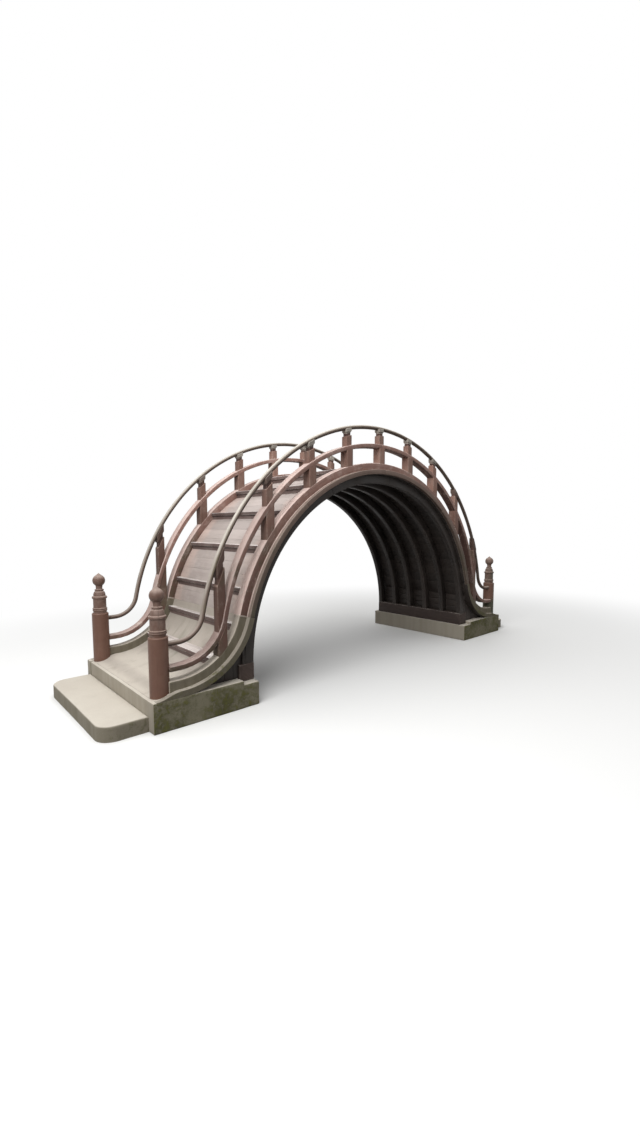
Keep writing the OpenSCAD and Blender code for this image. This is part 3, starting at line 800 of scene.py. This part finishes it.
# %% [markdown]
# ## Rails
# The middle rail is a flat plank and the top rail is round, a pole as thick as a wrist can grip.
# Both run from newel to newel on the railing's curve. Their ends go a little way into the newels,
# as tenons do, so that no gap shows.

# %% Rails
TENON = 0.020
rail_end = railing.ease_end + NEWEL_X - railing.ease_x - NEWEL_R + TENON


def round_pole(y):
    """The top rail: a circle carried along the railing's curve, a hair thicker in some places
    than in others, as a pole is that was planed by hand."""
    s, inset = stations(-rail_end, rail_end, 0.03, 0.003)
    angle = np.linspace(0, 2 * math.pi, 20, endpoint=False)
    swell = 0.0004 * np.sin(7 * s) + 0.0003 * np.sin(19 * s + 1)
    r = (RAIL_D / 2 - 0.0004 - inset + swell)[:, None]
    return loft(bent(railing, s, y + r * np.sin(angle), r * np.cos(angle)), sun=np.cos(angle))


for side, name in SIDES:
    piece(f"round_top_rail_{name}", [round_pole(side * RAIL_Y)], "weathered_lit_rail_timber",
          "weathered_rail", f"top_rail_{name}")
    parts = bent_lengths(railing, rail_end, 2.1, 0.0015, side * RAIL_Y, -MID_DROP - MID_T / 2,
                         MID_W, MID_T, 0.007)
    piece(f"bent_mid_rail_{name}", parts, "faded_lit_red_brown_timber", "painted_timber",
          f"mid_rail_{name}")

# %% [markdown]
# ## Posts and bearing blocks
# Each post is upright between two sloping curves. Instead of cutting a longer post with a Boolean,
# we keep its section level and let its rings' heights run from the curve below to the one above. A
# narrow neck stands in shadow, and its near-black colour paints that shade in as well; the block on
# it is coved at its foot and hollowed for the rail.

# %% Posts
SINK, COVE_W, COVE_H, BLOCK_EASE, BLOCK_TOP = 0.006, 0.011, 0.018, 0.003, -0.006


def upright(x, y, length, width, low, high, r=0.006, rounds=6, top_ease=0.0):
    """A post about x, y whose foot follows the curve low and whose top follows high: each ring
    lies part of the way between the two heights at every point of the outline. top_ease planes
    off its top edge."""
    outline, rub = soft_rect(length, width, r, fill=3)
    px, py = x + outline[:, 0], y + outline[:, 1]
    z0, z1 = low(px), high(px)
    share = np.linspace(0, 1, rounds)[:, None]
    rings = np.stack([px + 0 * share, py + 0 * share, z0 + (z1 - z0) * share], -1)
    if top_ease:
        cap = rings[-1].copy()
        cap[:, :2] = (x, y) + outline * (1 - top_ease / (min(length, width) / 2))
        rings[-1, :, 2] -= top_ease
        rings = join([rings, cap[None]])
    return loft(rings, rub)


def square_to_rail(x, drop):
    """Height of the plane that lies drop below the top rail and square to it at x."""
    rise = float(railing.height(x + 1e-3) - railing.height(x - 1e-3)) / 2e-3
    z = float(railing.height(x)) - drop * math.sqrt(1 + rise ** 2)
    return lambda px: z + rise * (px - x)


def bearing_block(x, y):
    """The block that cradles the rail. Over the height COVE_H of its foot the half width grows by
    COVE_W along a quarter circle. Above that it is square, up to the eased top edge."""
    outline, rub = soft_rect(POST_W, POST_W, 0.005, fill=3)
    t = np.linspace(0, 1, 6)[:, None]
    pull = join([COVE_W * np.sqrt(1 - t ** 2), [[0], [BLOCK_EASE]]])
    plan = (x, y) + outline * (1 - pull[..., None] / (POST_W / 2))
    z = join([square_to_rail(x, BLOCK_H)(plan[:6, :, 0]) + COVE_H * t,
              railing.height(plan[6:, :, 0], BLOCK_TOP) - [[BLOCK_EASE], [0]]])
    return loft(np.dstack([plan, z]), rub)


for side, name in SIDES:
    y, xs = side * RAIL_Y, post_xs + FAR_POST_SHIFT * (side > 0)
    parts = [upright(x, y, POST_L, KERB_W - 0.002, lambda px: walk.height(px, KERB_H) - SINK,
                     lambda px: railing.height(px, -MID_DROP - MID_T) + SINK) for x in xs]
    piece(f"sawn_lower_posts_{name}", parts, "post_timber", "painted_timber",
          f"lower_posts_{name}")
    parts = [upright(x, y, POST_W, POST_W, lambda px: railing.height(px, -MID_DROP) - SINK,
                     square_to_rail(x, BLOCK_H + NECK_H), top_ease=0.004) for x in xs]
    piece(f"sawn_upper_posts_{name}", parts, "post_timber", "painted_timber",
          f"upper_posts_{name}")
    parts = [upright(x, y, NECK_W, NECK_W, square_to_rail(x, BLOCK_H + NECK_H + SINK),
                     square_to_rail(x, BLOCK_H - SINK)) for x in xs]
    piece(f"waisted_necks_{name}", parts, "shaded_neck_timber", "painted_timber")
    piece(f"cradled_blocks_{name}", [bearing_block(x, y) for x in xs], "bearing_block_timber",
          "weathered_rail", f"rail_blocks_{name}")

# %% [markdown]
# ## Newels and their turned caps
# A newel is a round post turned on a lathe, and its cap is the old onion-shaped one of garden
# bridges, with rings, a collar and a dome under the bulb. A Screw modifier could spin its profile,
# but `spun` gives it the grain map too, so we only list corners, each rounded by its own radius.

# %% Newels and caps
def rounded_profile(corners, steps=4):
    """Profile through corners (radius, height, rounding) in millimetres: each corner becomes a
    quadratic curve between the points where the rounding begins, tangent to both its sides."""
    corners = np.array(corners, float) / 1000
    pts, t = corners[:, :2], np.linspace(0, 1, steps + 1)[:, None]
    out = [pts[0]]
    for before, here, after, soft in zip(pts, pts[1:], pts[2:], corners[1:, 2]):
        din, dout = before - here, after - here
        soft = min(soft, norm(din) * 0.49, norm(dout) * 0.49)
        a = here + din / norm(din) * soft
        b = here + dout / norm(dout) * soft
        out.extend((1 - t) ** 2 * a + 2 * t * (1 - t) * here + t ** 2 * b)
    return np.array([*out, pts[-1]])


post_profile = rounded_profile([
    (1, -10, 0), (87, -10, 1), (87, 150, 0), (87, 300, 0), (87, 450, 0), (87, 530, 1),
    (87.8, 541, 4), (80, 551, 3), (1, 551, 0)])
ring_line = [
    (1, -10, 0), (70, -10, 1), (70, 20, 4), (76, 26, 3), (76, 38, 3), (70.5, 40.5, 1.5),
    (76.5, 44, 3), (76.5, 56, 3), (68, 60, 3), (68, 160, 3), (79, 167, 4), (79, 187, 5),
    (63.5, 193, 2), (63.5, 212, 20), (55, 239, 20), (41, 250, 4), (48, 255, 4), (48, 267, 4),
    (36, 271, 3), (33, 277, 6)]
BULB_Z, BULB_R = 0.367, 0.066
turn = np.radians(np.linspace(-56, 62, 22))[:, None]
bulb = join([BULB_R * np.cos(turn), BULB_Z + BULB_R * np.sin(turn)], 1)
tip = np.array([(21.5, 433.5), (15, 439), (9.5, 443), (5.5, 447), (2.5, 450), (0.5, 451)]) / 1000
cap_profile = join([rounded_profile(ring_line), bulb, tip])
print("profile rings of a newel and its cap:", len(post_profile), len(cap_profile))


def lathe(side, z, profile):
    """A profile of radii and heights above z, spun into the two newels of one end."""
    return [loft(spun(side * NEWEL_X, y, z, profile[:, :1], profile[:, 1:], 56), tone=0.5)
            for y in (-NEWEL_Y, NEWEL_Y)]


for side, name in ENDS:
    piece(f"turned_newels_{name}", lathe(side, LANDING_Z, post_profile), f"newel_paint_{name}",
          "newel_paint", f"newels_{name}")
    piece(f"turned_caps_{name}", lathe(side, LANDING_Z + NEWEL_H, cap_profile),
          f"cap_paint_{name}", "newel_paint", f"finials_{name}")

# %% [markdown]
# ## The frame under the deck
# Six ribs carry the boards, and stand on a sill at each end. All of it is nearly black: dark
# timber with the shade under the arch painted into its colour. One rib could be copied by an Array
# modifier, but each is built of its own lengths, whose joints don't line up with its neighbours'.

# %% Ribs and sills
rib_curve = Curve(UNDER_R, walk.centre_z, 0.5, walk.centre_z)
rib_end = UNDER_R * math.acos((SILL_Z + SILL_H - 0.004 - walk.centre_z) / UNDER_R)
for k, y in enumerate(np.linspace(-RIB_Y + RIB_W / 2, RIB_Y - RIB_W / 2, RIB_COUNT)):
    parts = bent_lengths(rib_curve, rib_end, 1.1, 0.002, y, -RIB_DEPTH / 2, RIB_W, RIB_DEPTH,
                         0.006, 0.18 * (-1) ** k)
    piece(f"arched_rib_{k + 1}", parts, "near_black_shaded_timber", "dark_timber", f"rib_{k + 1}")
for side, name in ENDS:
    beam = level_board(side * (SILL_X + SILL_L / 2), SILL_Z + SILL_H / 2, RIB_Y, SILL_L, SILL_H,
                       0.010, 0.2, 0.008)
    piece(f"sill_beam_{name}", [beam], "sill_timber", "dark_timber", f"sill_{name}")

# %% [markdown]
# ## Linings and side panels
# Behind the ribs' feet level boards are nailed on as high as the flare allows, and upright boards
# close the hollow under it at each side. The flare's underside is the same reverse arc as its top,
# one slab's thickness lower, so `upright` cuts their top ends to that curve.

# %% Linings and side panels
def under_flare(x):
    """Height of the flare's underside at the distance x from the bridge's middle."""
    return walk.ease_z - np.sqrt((walk.small + DECK_T) ** 2 - (walk.ease_x - np.abs(x)) ** 2)


lining_x, cheek_y = UNDER_R + LINING_T / 2, RIB_Y - CHEEK_BACK - CHEEK_T / 2
for side, name in ENDS:
    parts = [level_board(side * lining_x, (lo + hi) / 2, RIB_Y, LINING_T, hi - lo, 0.003, 0.4)
             for lo, hi in lengths(SILL_Z + SILL_H, float(under_flare(lining_x)), 0.115, 0.003)]
    piece(f"lining_boards_{name}", parts, "near_black_shaded_timber", "dark_timber", f"lining_{name}")
    parts = [upright(side * (lo + hi) / 2, y, hi - lo, CHEEK_T, lambda px: 0 * px + LANDING_Z,
                     under_flare, 0.003, 3)
             for lo, hi in lengths(UNDER_R + LINING_T, walk.ease_x - 0.10, 0.11, 0.002)
             for y in (-cheek_y, cheek_y)]
    piece(f"side_panels_{name}", parts, "near_black_shaded_timber", "dark_timber", f"cheeks_{name}")

# %% [markdown]
# ## Cast landings and flares
# Each end stands on a landing slab, and a cast flare with a curb on each side carries the reverse
# arc of the walkway down to it. No cast face is quite flat, and bump alone wouldn't show at the
# edges, so these pieces have more rings than their form needs, and `wander` moves their points by
# a millimetre or so. At the far side the newel's pad was cast apart, and an open joint shows.

# %% Landings and flares
WAVES = 10
waves = draw.normal(0, 1, (WAVES, 3)) * np.linspace(4, 26, WAVES)[:, None]
phases = draw.uniform(0, 2 * math.pi, WAVES)
TOE_L, PAD_Y, SLIT, CURB_IN = 0.240, 0.815, 0.014, 0.030
curb_end = walk.ease_end + NEWEL_X - walk.ease_x - NEWEL_R + CURB_IN


def wander(part, size):
    """Moves every point by a sum of plane waves of its own place, so that a surface swells and
    sinks by about size metres. Neighbouring points move alike, so no skin opens."""
    wave = np.sin(part["points"] @ waves.T + phases) / np.linspace(1, 3, WAVES)
    move = np.stack([wave[:, k::3].sum(1) for k in range(3)], -1)
    part["points"] = part["points"] + move * size / 2
    return part


def flare_skin(side, y0, y1, top, bottom, s1, r=0.010, toe=0.0):
    """A slab between the offsets bottom and top of the walkway's curve, from the arc's end to s1.
    Along the toe its top sinks by a smooth step, three squares less two cubes. Only the flat sides
    of the outline are stretched to the slab's thickness, so its corners stay round."""
    outline, rub = soft_rect(y1 - y0, 1.0, r, fill=10)
    s, inset = (v[:, None] for v in stations(walk.arc_end, s1, 0.025, 0.004))
    t = np.clip((s - walk.ease_end) / TOE_L, 0, 1)
    top, level = top - toe * (3 * t ** 2 - 2 * t ** 3), outline[:, 1]
    half = (top - bottom) / 2
    corner = np.sign(level) * (half - r + np.clip(np.abs(level) - (0.5 - r), 0, r))
    lift = np.where(np.abs(level) < 0.5 - r - 1e-6, level / (0.5 - r) * (half - r), corner)
    lift = (top + bottom) / 2 + lift * (1 - inset / half)
    y = (y0 + y1) / 2 + outline[:, 0] * (1 - inset / ((y1 - y0) / 2))
    rings = bent(walk, s[:, 0], y, lift)
    rings[..., 0] *= side
    return wander(loft(rings, rub), 0.0015)


def cast_block(side, x0, x1, y, wide, high, r, ease, fill):
    """A block on the ground from x0 to x1 along the bridge, and wide across it about y."""
    return wander(straight((side * x0, y, high / 2), (side * x1, y, high / 2), (0, 1, 0),
                           wide, high, r, 0.04, ease, fill), 0.002)


for side, name in ENDS:
    slab = flare_skin(side, -WALK_Y, WALK_Y, 0, -DECK_T - 0.004, walk.ease_end + TOE_L, 0.0015,
                      DECK_T - 0.002)
    piece(f"cast_flare_{name}", [slab], "flare_concrete", "mossy_concrete", f"flare_{name}",
          under=lambda at, normals: turned_in(at, normals, -0.2) & (at[:, 2] > SILL_Z))
    curbs = [flare_skin(side, y0, y1, KERB_H, -0.03, curb_end)
             for y0, y1 in ((-KERB_Y, KERB_W - KERB_Y), (KERB_Y - KERB_W, KERB_Y))]
    piece(f"cast_curbs_{name}", curbs, "mossy_concrete", "mossy_concrete", f"curbs_{name}")
    parts = [cast_block(side, LANDING_X, SILL_X + SILL_L, (y0 + y1) / 2, y1 - y0, LANDING_Z,
                        0.009, 0.009, fill)
             for y0, y1, fill in ((-WALK_Y, PAD_Y - SLIT / 2, 24), (PAD_Y + SLIT / 2, WALK_Y, 8))]
    parts += [cast_block(side, SILL_X + SILL_L + 0.02, SILL_X, 0, 2 * WALK_Y - 0.004, SILL_Z,
                         0.012, 0.010, 24)]
    piece(f"cast_landing_{name}", parts, "pale_cast_concrete", "concrete", f"abutment_{name}")

# %% [markdown]
# ## The lower steps
# A thin cast step with two round corners lies before each landing. A bevelled box would leave its
# large top without points for `wander` to move. So the step's plan is stacked in rings, and its top
# is made of rings too.

# %% Lower steps
STEP_L, STEP_W, STEP_H, STEP_R, STEP_EASE = 0.410, 1.640, 0.140, 0.150, 0.018


def rounded_step(side):
    """The plan, two square corners at the landing and two round ones, stacked in rings that pull
    in along a quarter circle at the top edge and then step by step to the middle."""
    half = np.array([STEP_L / 2, STEP_W / 2])
    a = np.radians(np.linspace(0, 90, 9))[:, None]
    corner = STEP_R * join([np.cos(a), np.sin(a)], 1)
    corner = (STEP_L - STEP_R, STEP_W / 2 - STEP_R) + corner
    run_y = np.linspace(-1, 1, 18)[1:-1, None] * (STEP_W / 2 - STEP_R)
    run_x = np.linspace(STEP_L - STEP_R, 0, 6)[1:, None]
    flank = run_x * (1, 0) + (0, STEP_W / 2)
    back = np.linspace(1, -1, 22)[1:-1, None] * STEP_W / 2
    plan = join([(corner * (1, -1))[::-1], run_y * (0, 1) + (STEP_L, 0), corner, flank,
                 back * (0, 1), (flank * (1, -1))[::-1]])
    q = np.radians(np.linspace(0, 90, 6))
    heights = join([[0, 0.03, 0.07, 0.105], STEP_H - STEP_EASE + STEP_EASE * np.sin(q),
                    [STEP_H] * 5])[:, None]
    pull = join([[0] * 4, STEP_EASE * (1 - np.cos(q)), [0.04, 0.08, 0.12, 0.16, 0.19]])
    flat = (half[0], 0) + (plan - (half[0], 0)) * (1 - pull[:, None, None] / half)
    rings = np.dstack([side * (LANDING_X + flat[..., 0]), flat[..., 1], heights + 0 * flat[..., 0]])
    return wander(loft(rings), 0.0016)


for side, name in ENDS:
    piece(f"cast_step_{name}", [rounded_step(side)], "step_concrete", "concrete", f"step_{name}")

# %% [markdown]
# ## The studio
# The world is white only to the camera, and a good deal dimmer as light, so that a colour comes out
# about as it was written. Seen by the camera the floor is pale near the bridge, where it shows the
# shadow, and fades to white further off. For light that bounces it is dark, so that the underside
# of the arch stays as dark as it should.

# %% Studio floor and sky
FLOOR, SKY_LIGHT = 60, 0.42
floor_mesh = bpy.data.meshes.new("studio_floor")
floor_mesh.from_pydata([(FLOOR * x, FLOOR * y, 0) for x, y in ((-1, -1), (1, -1), (1, 1), (-1, 1))],
                       [], [(0, 1, 2, 3)])
floor = bpy.data.objects.new("studio_floor", floor_mesh)
scene.collection.objects.link(floor)
ground = Finish("pale_studio_floor", (0.06, 0.055, 0.045), 1.0, 0.0)
seen = ground.seen()
ground.cover(seen, (0.88, 0.88, 0.87))
ground.feed(ground.shader.inputs["Base Color"], ground.colour)
away = ground.node("VectorMath", {0: ground.stretch(ground.place, (0.75, 1, 1))},
                   operation="LENGTH").outputs["Value"]
fade = ground.times(ground.between(away, 2.4, 7.0), seen)
white = ground.node("Emission", {"Color": (1, 1, 1), "Strength": 1.0}).outputs[0]
blend = ground.node("MixShader", {0: fade, 1: ground.shader.outputs[0], 2: white}).outputs[0]
ground.feed(ground.tree.nodes["Material Output"].inputs["Surface"], blend)
floor_mesh.materials.append(ground.material)

world = bpy.data.worlds.new("studio_world")
world.use_nodes = True
scene.world = world
sky = Nodes(world.node_tree)
backdrop = sky.tree.nodes["Background"].inputs
sky.feed(backdrop["Color"], (1, 1, 1))
sky.feed(backdrop["Strength"], sky.between(sky.seen(), 0, 1, SKY_LIGHT, 1.0))
print("floor:", 2 * FLOOR, "m wide; light of the sky:", SKY_LIGHT)

# %% [markdown]
# ## Lamps
# Two large square lamps, one overhead and one high at the left, give the soft shadows of an
# overcast day. A sun lamp would draw every rail's edge on the deck, so it isn't used.

# %% Lamps
for name, at, toward, size, power in (
        ("sky_panel", (-1.5, 0.5, 9.0), (0, 0, 0.8), 9.0, 490),
        ("window_panel", (-8.0, -4.0, 7.4), (-0.8, 0, 1.2), 6.0, 640)):
    light = bpy.data.lights.new(name, "AREA")
    light.size, light.energy = size, power
    lamp = bpy.data.objects.new(name, light)
    lamp.matrix_world = aimed(at, Vector(toward) - Vector(at))
    scene.collection.objects.link(lamp)
scene.view_settings.view_transform = "Standard"
